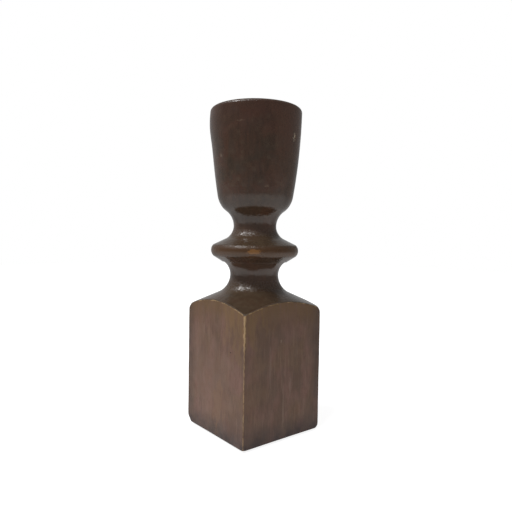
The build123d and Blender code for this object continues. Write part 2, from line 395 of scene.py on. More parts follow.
def block_rings():
    """The block's rings of points, from the middle of its underside up and over to the mortise's floor.

    With them come three measures of each point: whether the lathe cut it (1) or it is on the block's
    flats (0), how far it is from the nearest upright edge, and how far below the arched border.
    """
    turns = column_turns()
    neck = lower_neck_outline()
    slope = (neck[0][1] - SHOULDER_CORNER[1]) / (SHOULDER_CORNER[0] - neck[0][0])
    lean = np.array([-1.0, slope]) / math.hypot(1, slope)
    wall = block_radius(turns, SHOULDER_CORNER[1] + 0 * turns)
    arch = SHOULDER_CORNER[1] + (SHOULDER_CORNER[0] - wall) * slope
    foot = block_radius(turns, BLOCK_Z + 0 * turns)
    rings = []

    def add(radius, height, turned, arch_gap):
        rings.append([value + 0 * turns for value in (radius, height, turned, arch_gap)])

    for share in (0.3, 0.6, 0.8, 0.9):
        add(foot * share, BLOCK_Z, 0, BLOCK_HALF)
    for angle in np.linspace(0, math.pi / 2, EDGE_RINGS):
        rise = FOOT_ROUNDING * (1 - math.cos(angle))
        add(foot - FOOT_ROUNDING * (1 - math.sin(angle)), BLOCK_Z + rise, 0, BLOCK_HALF)
    low, high = BLOCK_Z + FOOT_ROUNDING, arch - ARCH_ROUNDING
    for share in np.linspace(0, 1, SIDE_RINGS)[1:-1]:
        height = low + (high - low) * share
        add(block_radius(turns, height), height, 0, arch - height)
    for share in np.linspace(0, 1, EDGE_RINGS):
        inward, drop = ARCH_ROUNDING * share**2, ARCH_ROUNDING * (1 - share) ** 2
        height = arch - drop + inward * lean[1]
        add(wall + inward * lean[0], height, float(share > 0.5), drop - inward)
    start = wall + ARCH_ROUNDING * lean[0]
    for share in np.linspace(0, 1, SHOULDER_RINGS)[1:-1] ** 1.2:
        radius = start + (neck[0][0] - start) * share
        add(radius, SHOULDER_CORNER[1] + (SHOULDER_CORNER[0] - radius) * slope, 1, radius - wall)
    for radius, height in neck:
        add(radius, height, 1, radius - wall)
    for radius, height in mortise_outline():
        add(radius, height, 1, -BLOCK_HALF)
    radius, height, turned, arch_gap = np.array(rings).transpose(1, 0, 2)
    points = np.stack([radius * np.cos(turns), radius * np.sin(turns), height], axis=-1)
    arris_gap = BLOCK_HALF - np.minimum(np.abs(points[..., 0]), np.abs(points[..., 1]))
    return knocked(points), {"turned": turned, "arris_gap": arris_gap, "arch_gap": arch_gap}


FLAT_FACE, TURNED_FACE = 0, 1


def make_block():
    """The square block with its turned shoulder and neck, and one material for each kind of face."""
    points, measures = block_rings()
    turned = measures.pop("turned")
    waves = uneven(points, 0.03 * MM, (9 * MM, 9 * MM, 30 * MM), seed=2) * (1 - turned)
    block = ring_mesh("worn_block", pressed(points, waves), measures)
    cut_faces = np.minimum(turned[:-1], turned[1:]).reshape(-1).astype(int)
    underside_fan, mortise_fan = [FLAT_FACE] * turned.shape[1], [TURNED_FACE] * turned.shape[1]
    dress(block, flat_wood(), shoulder_wood())
    block.data.polygons.foreach_set("material_index", [*cut_faces, *underside_fan, *mortise_fan])
    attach(block, "root")
    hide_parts("base_block")


# ---- The stem and cup ----
# Dents in the cup and the disc: radius, angle in degrees, height, reach and depth
DENTS = (
    (24.0 * MM, -73.0, 153.7 * MM, 1.1 * MM, 0.30 * MM),
    (24.3 * MM, -148.0, 160.2 * MM, 0.9 * MM, 0.10 * MM),
    (23.4 * MM, -179.0, 143.5 * MM, 1.2 * MM, 0.15 * MM),
    (22.9 * MM, 64.0, 138.0 * MM, 1.6 * MM, 0.20 * MM),
    (24.4 * MM, 121.0, 158.0 * MM, 1.3 * MM, 0.18 * MM),
    (23.5 * MM, -40.0, 96.5 * MM, 1.2 * MM, 0.20 * MM),
    (23.5 * MM, 150.0, 95.0 * MM, 1.4 * MM, 0.25 * MM),
)
# Scratches and rubs in the cup's lacquer: radius, angle, height, width, length along Z and strength
CUP_MARKS = (
    (24.0 * MM, -73.3, 153.7 * MM, 1.0 * MM, 2.1 * MM, 0.85),
    (24.3 * MM, -147.7, 160.2 * MM, 2.0 * MM, 0.3 * MM, 0.12),
    (24.3 * MM, -152.0, 158.5 * MM, 0.4 * MM, 2.6 * MM, 0.08),
    (23.4 * MM, -179.3, 143.5 * MM, 0.8 * MM, 1.8 * MM, 0.40),
    (23.6 * MM, -177.0, 146.8 * MM, 0.5 * MM, 1.0 * MM, 0.30),
    (21.2 * MM, -113.0, 128.8 * MM, 1.8 * MM, 0.7 * MM, 0.10),
)
OVALNESS = 0.0012
# The place below the cup's rim where its wall swells out, its reach in X, Y and Z, and how far it swells
SWELL_DEGREES, SWELL_Z = 141.6, 161.5 * MM
SWELL_REACH = (15 * MM, 15 * MM, 9 * MM)
SWELL_OUT = 0.9 * MM
# Below the bore, what is nearer the axis than this share of the neck's radius is tenon or screw hole
INSIDE_NECK = 0.95


def on_outside(radius, height):
    """Whether points of the upper turning are on its outside, above the joint and clear of the bore."""
    beside_bore = height > WOOD_BORE_Z - LINER_WALL
    inner_limit = np.where(beside_bore, LINER_HIGH.x, UPPER_NECK_RADIUS * INSIDE_NECK)
    return (height > JOINT_Z + EDGE_GUARD) & (radius > inner_limit)


def swollen(rows, radius, outside):
    """The rings of points with the cup's wall swollen on one side below its rim."""
    centre = on_turning(CUP_RIM_RADIUS, SWELL_DEGREES, SWELL_Z)
    swell = SWELL_OUT * bump_at(rows, centre, SWELL_REACH) * outside
    widened = rows.copy()
    widened[..., :2] *= (1 + swell / radius)[..., None]
    return widened


def make_stem():
    """Tenon, disc, upper neck and cup in one turning, a little out of round, swollen and dented."""
    rows = turned_rows(stem_outline())
    radius = np.hypot(rows[..., 0], rows[..., 1])
    turn = np.arctan2(rows[..., 1], rows[..., 0])
    outside = on_outside(radius, rows[..., 2])
    rows = swollen(rows, radius, outside)
    depth = OVALNESS * radius * (1 + np.cos(2 * turn)) / 2
    depth += uneven(rows, 0.02 * MM, (12 * MM, 12 * MM, 20 * MM), seed=3)
    depth += uneven(rows * (0, 0, 1), 0.01 * MM, 2.2 * MM, seed=4)
    for dent_radius, degrees, height, reach, dent_depth in DENTS:
        depth += dent_depth * bump_at(rows, on_turning(dent_radius, degrees, height), reach)
    stem = ring_mesh("worn_stem_and_cup", pressed(rows, depth * outside))
    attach(stem, "root")
    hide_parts("stem_and_cup")
    dress(stem, turned_wood())


# ---- The brass cup and the felt ----
def make_liner():
    """The thin brass cup, its lip a little uneven."""
    rows = turned_rows(liner_outline())
    lip = np.clip((np.hypot(rows[..., 0], rows[..., 1]) - LINER_BORE_RADIUS) / LINER_WALL, 0, 1)
    top = (rows[..., 2] > CUP_TOP_Z + LIP_ROUNDING) * lip
    depth = uneven(rows, 0.05 * MM, 5 * MM, seed=5) * top
    liner = ring_mesh("spun_brass_liner", pressed(rows, depth), looped=True)
    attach(liner, "root")
    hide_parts("brass_liner")
    dress(liner, brass("spun_brass", 0.30 * MM, 0.24))


def finish_screw():
    """The screw keeps its CAD shape, and gets its brass."""
    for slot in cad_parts["liner_screw"].material_slots:
        slot.material = brass("screw_brass", 0.22 * MM, 0.22, dirt_and_shade_below=SCREW_HEAD_Z)


def make_felt():
    """The square of felt under the block, its cut edge a little furred."""
    turns = np.linspace(0, 2 * math.pi, FELT_COLUMNS, endpoint=False) + math.pi / FELT_COLUMNS
    half, thickness = FELT_HIGH.x, FELT_HIGH.z
    edge = rounded_square(turns, half, FELT_CORNER_RADIUS)
    rings = [(edge * share, 0.0) for share in (0.3, 0.6, 0.9)]
    for angle in np.linspace(-math.pi / 2, math.pi / 2, 9):
        inward = FELT_EDGE_ROUNDING * (1 - math.cos(angle))
        rings.append((edge - inward, thickness * (1 + math.sin(angle)) / 2))
    rings += [(edge * share, thickness) for share in (0.9, 0.6, 0.3)]
    rows = np.array([
        np.stack([radius * np.cos(turns), radius * np.sin(turns), height + 0 * turns], axis=-1)
        for radius, height in rings
    ])
    fur = uneven(rows, 0.12 * MM, 0.9 * MM, seed=6) + uneven(rows, 0.15 * MM, 5 * MM, seed=7)
    side = (rows[..., 2] > 0) & (rows[..., 2] < thickness)
    felt = ring_mesh("felt_square", pressed(rows, fur * side))
    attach(felt, "root")
    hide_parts("felt_pad")
    dress(felt, baize())


# ---- Short names for nodes ----
# The scale at which Blender's wave texture makes one band in each unit of length
WAVE_TURN = 2 * math.pi / 20
# The scale of growth rings along the grain, as a share of their scale across it
RING_STRETCH = 0.12
# Where a spot drawn by near() starts to fade, as a share of its reach
SPOT_CORE = 0.55
# How far a texture's noise moves for each seed
NOISE_SHIFT = (3.7, 1.9, 5.3)
LATHE_NOISE_SHIFT = 7.3


class Nodes:
    """A tree of nodes, with short names for those that place, calculate and compare."""

    def __init__(self, tree, place):
        self.tree = tree
        self.place = self.node("ShaderNodeTexCoord").outputs[place]

    def node(self, kind, **settings):
        """A new node with the given settings."""
        made = self.tree.nodes.new(kind)
        for name, value in settings.items():
            setattr(made, name, value)
        return made

    def feed(self, socket, value):
        """Gives a socket a constant, or links it to another node's output."""
        if isinstance(value, bpy.types.NodeSocket):
            self.tree.links.new(value, socket)
        else:
            socket.default_value = value

    def part(self, vector, axis):
        """The part of a vector along one axis."""
        split = self.node("ShaderNodeSeparateXYZ")
        self.feed(split.inputs["Vector"], vector)
        return split.outputs[axis]

    def along(self, axis):
        """The place, along one axis."""
        return self.part(self.place, axis)

    def length(self, vector):
        """The length of a vector."""
        measured = self.node("ShaderNodeVectorMath", operation="LENGTH")
        self.feed(measured.inputs[0], vector)
        return measured.outputs["Value"]

    def dot(self, vector, direction):
        """The dot product of a vector and a constant direction."""
        product = self.node("ShaderNodeVectorMath", operation="DOT_PRODUCT")
        self.feed(product.inputs[0], vector)
        product.inputs[1].default_value = direction
        return product.outputs["Value"]

    def to_camera(self):
        """1 for what the camera sees itself, 0 for what lights the scene or shows in a reflection."""
        return self.node("ShaderNodeLightPath").outputs["Is Camera Ray"]

    def between(self, value, low, high, at_low=0.0, at_high=1.0):
        """at_low below low and at_high above high, with a soft step between."""
        step = self.node("ShaderNodeMapRange", interpolation_type="SMOOTHSTEP")
        for socket, given in zip(step.inputs, (value, low, high, at_low, at_high)):
            self.feed(socket, given)
        return step.outputs["Result"]

    def calc(self, operation, a, b):
        """Any of Blender's math operations on two values."""
        made = self.node("ShaderNodeMath", operation=operation)
        self.feed(made.inputs[0], a)
        self.feed(made.inputs[1], b)
        return made.outputs["Value"]

    def times(self, a, b):
        """The product of two values."""
        return self.calc("MULTIPLY", a, b)

    def greater(self, a, b):
        """The greater of two values."""
        return self.calc("MAXIMUM", a, b)


class Surface(Nodes):
    """A new material, with short names for the nodes that colour, roughen and bump it."""

    def __init__(self, name, **constants):
        self.material = bpy.data.materials.new(name)
        self.material.use_nodes = True
        super().__init__(self.material.node_tree, "Object")
        self.shader = self.tree.nodes["Principled BSDF"]
        for socket, value in constants.items():
            self.shader.inputs[socket.replace("_", " ")].default_value = value

    def mapped(self, scale, shift):
        """The place on the piece, scaled and then shifted along each axis."""
        mapping = self.node("ShaderNodeMapping")
        self.feed(mapping.inputs["Vector"], self.place)
        mapping.inputs["Scale"].default_value = scale
        mapping.inputs["Location"].default_value = shift
        return mapping.outputs["Vector"]

    def noise_at(self, place, detail, warp=0.0):
        """Cloudy noise from 0 to 1 at a place."""
        texture = self.node("ShaderNodeTexNoise")
        self.feed(texture.inputs["Vector"], place)
        for name, given in (("Scale", 1.0), ("Detail", detail), ("Distortion", warp)):
            texture.inputs[name].default_value = given
        return texture.outputs["Fac"]

    def noise(self, size, detail=2.0, seed=0, warp=0.0):
        """Cloudy noise from 0 to 1. size is one length, or three along the axes."""
        lengths = size if isinstance(size, tuple) else (size,) * 3
        shift = [seed * move for move in NOISE_SHIFT]
        return self.noise_at(self.mapped([1 / length for length in lengths], shift), detail, warp)

    def grain(self, across, along, detail=2.0, seed=0):
        """Cloudy noise of one size across the grain, and another along it, which is upright."""
        return self.noise((across, across, along), detail, seed)

    def lathe_noise(self, size, detail=2.0, seed=0):
        """Noise that is the same all round the turning axis, like the marks of a lathe tool."""
        profile = self.node("ShaderNodeCombineXYZ")
        self.feed(profile.inputs["X"], self.calc("DIVIDE", self.from_axis(), size))
        self.feed(profile.inputs["Z"], self.calc("DIVIDE", self.along("Z"), size))
        profile.inputs["Y"].default_value = seed * LATHE_NOISE_SHIFT
        return self.noise_at(profile.outputs["Vector"], detail)

    def rings(self, centre, width, warp):
        """Growth rings round an upright axis: bands along the grain, and arcs across it."""
        scale = (1 / width, 1 / width, RING_STRETCH / width)
        wave = self.node("ShaderNodeTexWave", wave_type="RINGS", rings_direction="Z", wave_profile="SAW")
        self.feed(wave.inputs["Vector"], self.mapped(scale, [-value / width for value in centre]))
        settings = (("Scale", WAVE_TURN), ("Distortion", warp), ("Detail", 2.0), ("Detail Scale", 0.6))
        for name, given in settings:
            wave.inputs[name].default_value = given
        return wave.outputs["Fac"]

    def from_axis(self):
        """The distance from the turning axis."""
        return self.length(self.mapped((1, 1, 0), (0, 0, 0)))

    def upness(self):
        """1 where the surface faces straight up, 0 where it is upright, and less where it faces down."""
        return self.part(self.node("ShaderNodeNewGeometry").outputs["Normal"], "Z")

    def measure(self, name):
        """One of the mesh's own measures."""
        return self.node("ShaderNodeAttribute", attribute_name=name).outputs["Fac"]

    def near(self, point, reach, ragged=0.0, seed=0):
        """1 at a point, falling to 0 at reach, which is one length or three. ragged frays the border."""
        lengths = reach if isinstance(reach, tuple) else (reach,) * 3
        shift = [-at / size for at, size in zip(point, lengths)]
        gap = self.length(self.mapped([1 / size for size in lengths], shift))
        if ragged:
            fray = self.noise(tuple(size / 2 for size in lengths), detail=3.0, seed=seed)
            gap = self.calc("ADD", gap, self.between(fray, 0.3, 0.7, -ragged, ragged))
        return self.between(gap, SPOT_CORE, 1.0, 1.0, 0.0)

    def blend(self, amount, under, over):
        """The colour under, covered by the colour over as far as amount says."""
        mixed = self.node("ShaderNodeMix", data_type="RGBA")
        for name, given in (("Factor_Float", amount), ("A_Color", under), ("B_Color", over)):
            self.feed(next(s for s in mixed.inputs if s.identifier == name), given)
        return next(s for s in mixed.outputs if s.identifier == "Result_Color")

    def veil(self, under, over, pattern, low, high, strength=1.0):
        """The colour under, with the colour over it as far as the pattern rises from low to high."""
        return self.blend(self.between(pattern, low, high, 0.0, strength), under, over)

    def bump(self, height, depth, under=None):
        """Bumps as high as depth where height is 1, on top of the bumps under them."""
        made = self.node("ShaderNodeBump")
        self.feed(made.inputs["Height"], height)
        made.inputs["Distance"].default_value = depth
        if under is not None:
            self.feed(made.inputs["Normal"], under)
        return made.outputs["Normal"]

    def finish(self, colour, roughness, normal):
        """The finished material, its shader fed with these."""
        self.feed(self.shader.inputs["Base Color"], colour)
        self.feed(self.shader.inputs["Roughness"], roughness)
        self.feed(self.shader.inputs["Normal"], normal)
        return self.material


# ---- The turned wood ----
# Colours are linear, with full alpha.
STAIN_BROWN = (0.039, 0.0235, 0.0142, 1)
STAIN_RED = (0.054, 0.0245, 0.0142, 1)
STAIN_GRAIN = (0.026, 0.016, 0.011, 1)
STAIN_RINGS = (0.085, 0.040, 0.024, 1)
STAIN_HAZE = (0.067, 0.043, 0.027, 1)
STAIN_RIM = (0.066, 0.024, 0.016, 1)
STAIN_NECK = (0.104, 0.063, 0.046, 1)
RUDDY_STAIN_AND_LIGHT = (0.096, 0.048, 0.030, 1)
STAIN_RUBBED = (0.066, 0.029, 0.009, 1)
DUST = (0.082, 0.056, 0.035, 1)
BARE_WOOD = (0.22, 0.100, 0.028, 1)
SCRATCHED_WOOD = (0.44, 0.36, 0.26, 1)
OCHRE = (0.35, 0.235, 0.115, 1)

HEARTWOOD = (48 * MM, -31 * MM, 0)
HEARTWOOD_RING = 2.6 * MM
# The heights between which the neck passes into the cup
CUP_STARTS_Z = (112 * MM, 124 * MM)
# A warmer, lighter patch on the cup's right side, a reddish stain under painted light from the right, and
# the bare patch on the disc's edge: places and reaches
RUDDY_LIT_PLACE = on_turning(24 * MM, -82, 150 * MM)
RUDDY_LIT_REACH = (15 * MM, 15 * MM, 30 * MM)
BARE_PLACE = on_turning(DISC_RADIUS, -128.5, DISC_MIDDLE_Z)
BARE_REACH = (4.4 * MM, 4.4 * MM, 1.8 * MM)


def turned_colour(wood):
    """The dark red-brown stain of the turned parts, blotched, and duller where it faces up."""
    blotches = wood.noise(13 * MM, detail=4.0, seed=1, warp=0.6)
    colour = wood.veil(STAIN_BROWN, STAIN_RED, blotches, 0.36, 0.66)
    grain = wood.grain(1.4 * MM, 14 * MM, detail=3.0, seed=2)
    colour = wood.veil(colour, STAIN_GRAIN, grain, 0.48, 0.70, 0.42)
    rings = wood.rings(HEARTWOOD, HEARTWOOD_RING, 2.5)
    colour = wood.veil(colour, STAIN_RINGS, rings, 0.45, 1.0, 0.10)
    haze = wood.noise(3.0 * MM, detail=5.0, seed=3)
    colour = wood.veil(colour, STAIN_HAZE, haze, 0.48, 0.75, 0.65)
    colour = wood.veil(colour, STAIN_RIM, wood.along("Z"), 146 * MM, 166 * MM, 0.35)
    narrow = wood.between(wood.from_axis(), 13 * MM, 20 * MM, 0.38, 0.0)
    below_cup = wood.between(wood.along("Z"), 109 * MM, 114 * MM, 1.0, 0.15)
    colour = wood.blend(wood.times(narrow, below_cup), colour, STAIN_NECK)
    dust = wood.between(wood.upness(), 0.10, 0.85, 0.0, 0.62)
    dust = wood.times(dust, wood.between(haze, 0.3, 0.7, 0.7, 1.2))
    return wood.blend(dust, colour, DUST)


def dust_specks(wood):
    """1 on each fine speck of dust stuck in the lacquer where it faces half up, 0 elsewhere."""
    specks = wood.between(wood.noise(1.0 * MM, seed=8), 0.44, 0.56)
    leaning = wood.between(wood.upness(), 0.15, 0.35)
    steep = wood.between(wood.upness(), 0.60, 0.82, 1.0, 0.12)
    return wood.times(specks, wood.times(leaning, steep))


def dusty_gloss(wood, roughness):
    """The roughness of the lacquer, higher on its specks of dust."""
    return wood.greater(roughness, wood.times(dust_specks(wood), 0.60))


def from_neck_to_cup(wood, on_neck, on_cup):
    """One value up to the upper neck, another on the cup, with a soft step between."""
    return wood.between(wood.along("Z"), *CUP_STARTS_Z, on_neck, on_cup)


def lacquer_bumps(wood):
    """The uneven skin of an old brushed lacquer, over faint lathe lines and open grain."""
    smoother = from_neck_to_cup(wood, 1.0, 0.4)
    lathe = wood.lathe_noise(0.55 * MM, seed=4)
    grain = wood.grain(0.9 * MM, 3 * MM, seed=5)
    peel = wood.noise(1.7 * MM, detail=1.0, seed=6)
    normal = wood.bump(lathe, 0.012 * MM)
    normal = wood.bump(wood.times(grain, smoother), 0.09 * MM, normal)
    normal = wood.bump(dust_specks(wood), 0.03 * MM, normal)
    return wood.bump(wood.times(peel, smoother), 0.09 * MM, normal)


def cup_marks(wood):
    """How strongly each place on the cup is scratched or rubbed."""
    marks = 0.0
    for number, (radius, degrees, height, width, length, strength) in enumerate(CUP_MARKS):
        place = on_turning(radius, degrees, height)
        mark = wood.near(place, (width, width, length), ragged=0.5, seed=9 + number)
        marks = wood.greater(marks, wood.times(mark, strength))
    return marks


def turned_wood():
    """Glossy dark lacquer over turned wood, worn through to bare wood in a few places."""
    wood = Surface("lacquered_turned_wood", IOR=1.44)
    # Reddish stain under painted light from the right, on the cup's right side.
    ruddy_and_lit = wood.near(RUDDY_LIT_PLACE, RUDDY_LIT_REACH, ragged=0.3, seed=14)
    colour = wood.blend(wood.times(ruddy_and_lit, 0.30), turned_colour(wood), RUDDY_STAIN_AND_LIGHT)
    on_cup = from_neck_to_cup(wood, 0.0, 1.0)
    disc_edge = wood.between(wood.from_axis(), DISC_RADIUS - 1.7 * MM, DISC_RADIUS - 0.2 * MM)
    rubbed = wood.times(disc_edge, wood.calc("SUBTRACT", 1.0, on_cup))
    colour = wood.blend(wood.times(rubbed, 0.8), colour, STAIN_RUBBED)
    bare = wood.near(BARE_PLACE, BARE_REACH, ragged=0.3, seed=12)
    colour = wood.blend(wood.times(bare, 0.7), colour, BARE_WOOD)
    marks = cup_marks(wood)
    colour = wood.blend(marks, colour, SCRATCHED_WOOD)
    smears = wood.noise(6 * MM, detail=4.0, seed=7)
    roughness = wood.between(smears, 0.35, 0.75, 0.11, 0.24)
    roughness = wood.calc("ADD", roughness, wood.times(on_cup, 0.13))
    roughness = wood.calc("ADD", roughness, wood.times(rubbed, 0.15))
    roughness = wood.greater(roughness, wood.times(marks, 0.6))
    return wood.finish(colour, dusty_gloss(wood, roughness), lacquer_bumps(wood))


# ---- The block's wood ----
FLAT_BROWN = (0.100, 0.056, 0.037, 1)
FLAT_ROSE = (0.150, 0.077, 0.058, 1)
FLAT_CLOUDS = (0.124, 0.071, 0.042, 1)
FLAT_DARK_STREAKS = (0.078, 0.045, 0.031, 1)
FLAT_PALE_STREAKS = (0.200, 0.124, 0.088, 1)
FLAT_MOTTLE = (0.088, 0.052, 0.033, 1)
FLAT_PORES = (0.045, 0.026, 0.019, 1)
UNDER_ARCH = (0.120, 0.067, 0.029, 1)
GOLDEN = (0.175, 0.100, 0.042, 1)
FADED_AND_LIT = (0.190, 0.112, 0.082, 1)
GRIME_AND_SHADE = (0.043, 0.028, 0.025, 1)
WARM = (0.210, 0.112, 0.058, 1)
PIT = (0.020, 0.013, 0.010, 1)
NICK = (0.24, 0.17, 0.13, 1)
LONG_STREAK = (0.22, 0.15, 0.12, 1)
ARRIS_OCHRE_AND_HIGHLIGHT = (0.37, 0.25, 0.13, 1)

# The golden halo beside the front edge, under the arched border
GOLDEN_PLACE = (-BLOCK_HALF, 5 * MM - BLOCK_HALF, SHOULDER_CORNER[1] - 4 * MM)
GOLDEN_REACH = (15 * MM, 13 * MM, 20 * MM)
# Spots on the block's flats: place, reach, how ragged, seed, strength and colour
# A lighter patch in the middle of the left face: faded stain under painted light from the window.
FADED_AND_LIT_SPOT = ((-BLOCK_HALF, 4 * MM, 32 * MM), (20 * MM, 24 * MM, 30 * MM), 0.3, 43, 0.30, FADED_AND_LIT)
SMALL_SPOTS = (
    ((-BLOCK_HALF, -3.5 * MM, 18 * MM), (6 * MM, 6 * MM, 12 * MM), 0.5, 34, 0.22, WARM),
    ((-BLOCK_HALF, -14.4 * MM, 46.6 * MM), 0.45 * MM, 0.3, 35, 1.0, PIT),
    ((-2.2 * MM, -BLOCK_HALF, 51.3 * MM), (0.5 * MM, 0.5 * MM, 1.1 * MM), 0.5, 36, 0.5, NICK),
    ((-8.9 * MM, -BLOCK_HALF, 38.0 * MM), (0.9 * MM, 0.9 * MM, 11 * MM), 0.4, 38, 0.20, LONG_STREAK),
    ((-0.2 * MM, -BLOCK_HALF, 19.0 * MM), (0.9 * MM, 0.9 * MM, 12 * MM), 0.4, 39, 0.20, LONG_STREAK),
    ((4.6 * MM, -BLOCK_HALF, 27.0 * MM), (0.8 * MM, 0.8 * MM, 7 * MM), 0.4, 40, 0.20, LONG_STREAK),
)


def flat_colour(wood):
    """The thin brown stain on the block's flat faces, clouded, in fine upright streaks."""
    broad = wood.grain(9 * MM, 24 * MM, detail=4.0, seed=20)
    colour = wood.veil(FLAT_BROWN, FLAT_ROSE, broad, 0.36, 0.64)
    clouds = wood.grain(12 * MM, 14 * MM, detail=3.0, seed=23)
    colour = wood.veil(colour, FLAT_CLOUDS, clouds, 0.45, 0.68, 0.8)
    fine = wood.grain(0.9 * MM, 18 * MM, detail=4.0, seed=21)
    colour = wood.veil(colour, FLAT_DARK_STREAKS, fine, 0.45, 0.70, 0.28)
    pale = wood.grain(0.8 * MM, 14 * MM, detail=4.0, seed=22)
    colour = wood.veil(colour, FLAT_PALE_STREAKS, pale, 0.52, 0.74, 0.38)
    mottle = wood.grain(1.6 * MM, 4.0 * MM, detail=5.0, seed=37)
    colour = wood.veil(colour, FLAT_MOTTLE, mottle, 0.42, 0.66, 0.40)
    return wood.blend(open_pores(wood, 0.4), colour, FLAT_PORES)


def open_pores(wood, strength):
    """The short open pores of the grain, as strong as strength, and 0 between them."""
    pores = wood.grain(0.28 * MM, 5 * MM, seed=24)
    return wood.between(pores, 0.60, 0.72, 0.0, strength)


def smeared(wood, smoothest, roughest):
    """The block's roughness, which wanders between two values."""
    smears = wood.noise(7 * MM, detail=4.0, seed=26)
    return wood.between(smears, 0.3, 0.7, smoothest, roughest)


def arch_wear(wood):
    """How far the stain has been rubbed off along the arched border, as a thin ragged line."""
    ragged = wood.noise(1.2 * MM, detail=3.0, seed=25)
    reach = wood.between(ragged, 0.38, 0.66, 0.10 * MM, 0.55 * MM)
    gap = wood.calc("ABSOLUTE", wood.measure("arch_gap"), 0.0)
    line = wood.between(wood.calc("DIVIDE", gap, reach), 0.5, 1.0, 1.0, 0.0)
    patchy = wood.noise(4 * MM, detail=3.0, seed=27)
    return wood.times(line, wood.between(patchy, 0.40, 0.60, 0.05, 0.75))


def arris_wear_and_highlight(wood):
    """How far the stain has been rubbed off the upright edges, most of all the one in front, where the thin
    line below the rubbed ochre is a painted highlight.
    """
    ragged = wood.grain(0.7 * MM, 1.8 * MM, detail=6.0, seed=28)
    high_up = wood.between(wood.along("Z"), 44 * MM, 57 * MM)
    reach = wood.between(high_up, 0.0, 1.0, 0.55 * MM, 1.15 * MM)
    reach = wood.times(reach, wood.between(ragged, 0.38, 0.62, 0.50, 1.20))
    gap = wood.calc("DIVIDE", wood.measure("arris_gap"), reach)
    edge = wood.between(gap, 0.35, 1.0, 1.0, 0.0)
    edge = wood.times(edge, wood.between(high_up, 0.0, 1.0, 0.55, 0.85))
    return wood.times(edge, front_arris(wood, 1.0, 0.10))


def front_arris(wood, in_front, elsewhere):
    """One value beside the upright edge where X and Y are lowest, another beside the other three."""
    outward = wood.calc("ADD", wood.along("X"), wood.along("Y"))
    return wood.between(outward, -45 * MM, -30 * MM, in_front, elsewhere)


def grime_and_shade(wood):
    """How dark the painted shade and dirt are along the foot, and beside the upright edges but the front
    one.
    """
    cloudy = wood.between(wood.noise(5 * MM, detail=4.0, seed=33), 0.3, 0.7, 0.65, 1.15)
    foot = wood.between(wood.along("Z"), BLOCK_Z - 1 * MM, BLOCK_Z + 13 * MM, 1.0, 0.0)
    arris = wood.between(wood.measure("arris_gap"), 0.0, 9.0 * MM, 0.55, 0.0)
    arris = wood.times(arris, front_arris(wood, 0.0, 1.0))
    return wood.times(wood.greater(foot, arris), cloudy)


def spotted(wood, colour, spot):
    """The colour with one spot on it."""
    place, reach, ragged, seed, strength, spot_colour = spot
    amount = wood.near(place, reach, ragged, seed)
    return wood.blend(wood.times(amount, strength), colour, spot_colour)


def flat_wood():
    """Matt stained wood on the block's flats, with painted shade and dirt along its foot and side edges,
    and ochre on its rubbed edges, with a thin painted highlight low down the front one.
    """
    wood = Surface("stained_block_wood", IOR=1.5, Specular_IOR_Level=0.25)
    streaks = wood.grain(1.5 * MM, 9 * MM, detail=3.0, seed=29)
    under_arch = wood.between(wood.measure("arch_gap"), 0.0, 16.0 * MM, 0.85, 0.0)
    under_arch = wood.times(under_arch, wood.between(streaks, 0.3, 0.6, 0.4, 1.0))
    colour = wood.blend(under_arch, flat_colour(wood), UNDER_ARCH)
    golden = wood.near(GOLDEN_PLACE, GOLDEN_REACH, ragged=0.35, seed=42)
    golden = wood.times(golden, wood.between(streaks, 0.35, 0.60, 0.10, 0.45))
    colour = wood.blend(golden, colour, GOLDEN)
    # Painted window light over faded stain, in the middle of the left face.
    colour = spotted(wood, colour, FADED_AND_LIT_SPOT)
    # Painted shade, with dirt: darker along the foot and beside the side edges.
    colour = wood.blend(grime_and_shade(wood), colour, GRIME_AND_SHADE)
    for spot in SMALL_SPOTS:
        colour = spotted(wood, colour, spot)
    colour = wood.blend(arch_wear(wood), colour, OCHRE)
    # Rubbed ochre high on the front edge, with a thin painted highlight down it below.
    colour = wood.blend(arris_wear_and_highlight(wood), colour, ARRIS_OCHRE_AND_HIGHLIGHT)
    fibres = wood.grain(0.7 * MM, 12 * MM, detail=3.0, seed=21)
    normal = wood.bump(open_pores(wood, 1.0), -0.04 * MM)
    normal = wood.bump(fibres, 0.04 * MM, normal)
    return wood.finish(colour, smeared(wood, 0.46, 0.60), normal)


def shoulder_wood():
    """The block's turned shoulder and neck, lacquered as the stem is, ochre at the arched border."""
    wood = Surface("lacquered_block_wood", IOR=1.44)
    colour = wood.blend(arch_wear(wood), turned_colour(wood), OCHRE)
    dulled_border = wood.between(wood.measure("arch_gap"), -2.0 * MM, -0.2 * MM, 0.0, 0.60)
    roughness = wood.greater(smeared(wood, 0.09, 0.20), dulled_border)
    return wood.finish(colour, dusty_gloss(wood, roughness), lacquer_bumps(wood))


# ---- Brass and felt ----
BRASS = (0.66, 0.47, 0.20, 1)
BRASS_TARNISH = (0.40, 0.26, 0.11, 1)
BRASS_LINES = (0.24, 0.15, 0.08, 1)
BLACK_DIRT_AND_SHADE = (0.030, 0.020, 0.012, 1)
# How far under the screw head's top its slot is painted black, for dirt and shade, and where the black ends
DIRT_AND_SHADE_DEPTHS = (0.25 * MM, 0.05 * MM)
BAIZE_DARK = (0.022, 0.058, 0.028, 1)
BAIZE_GREEN = (0.058, 0.118, 0.062, 1)
BAIZE_FIBRES = (0.10, 0.17, 0.09, 1)


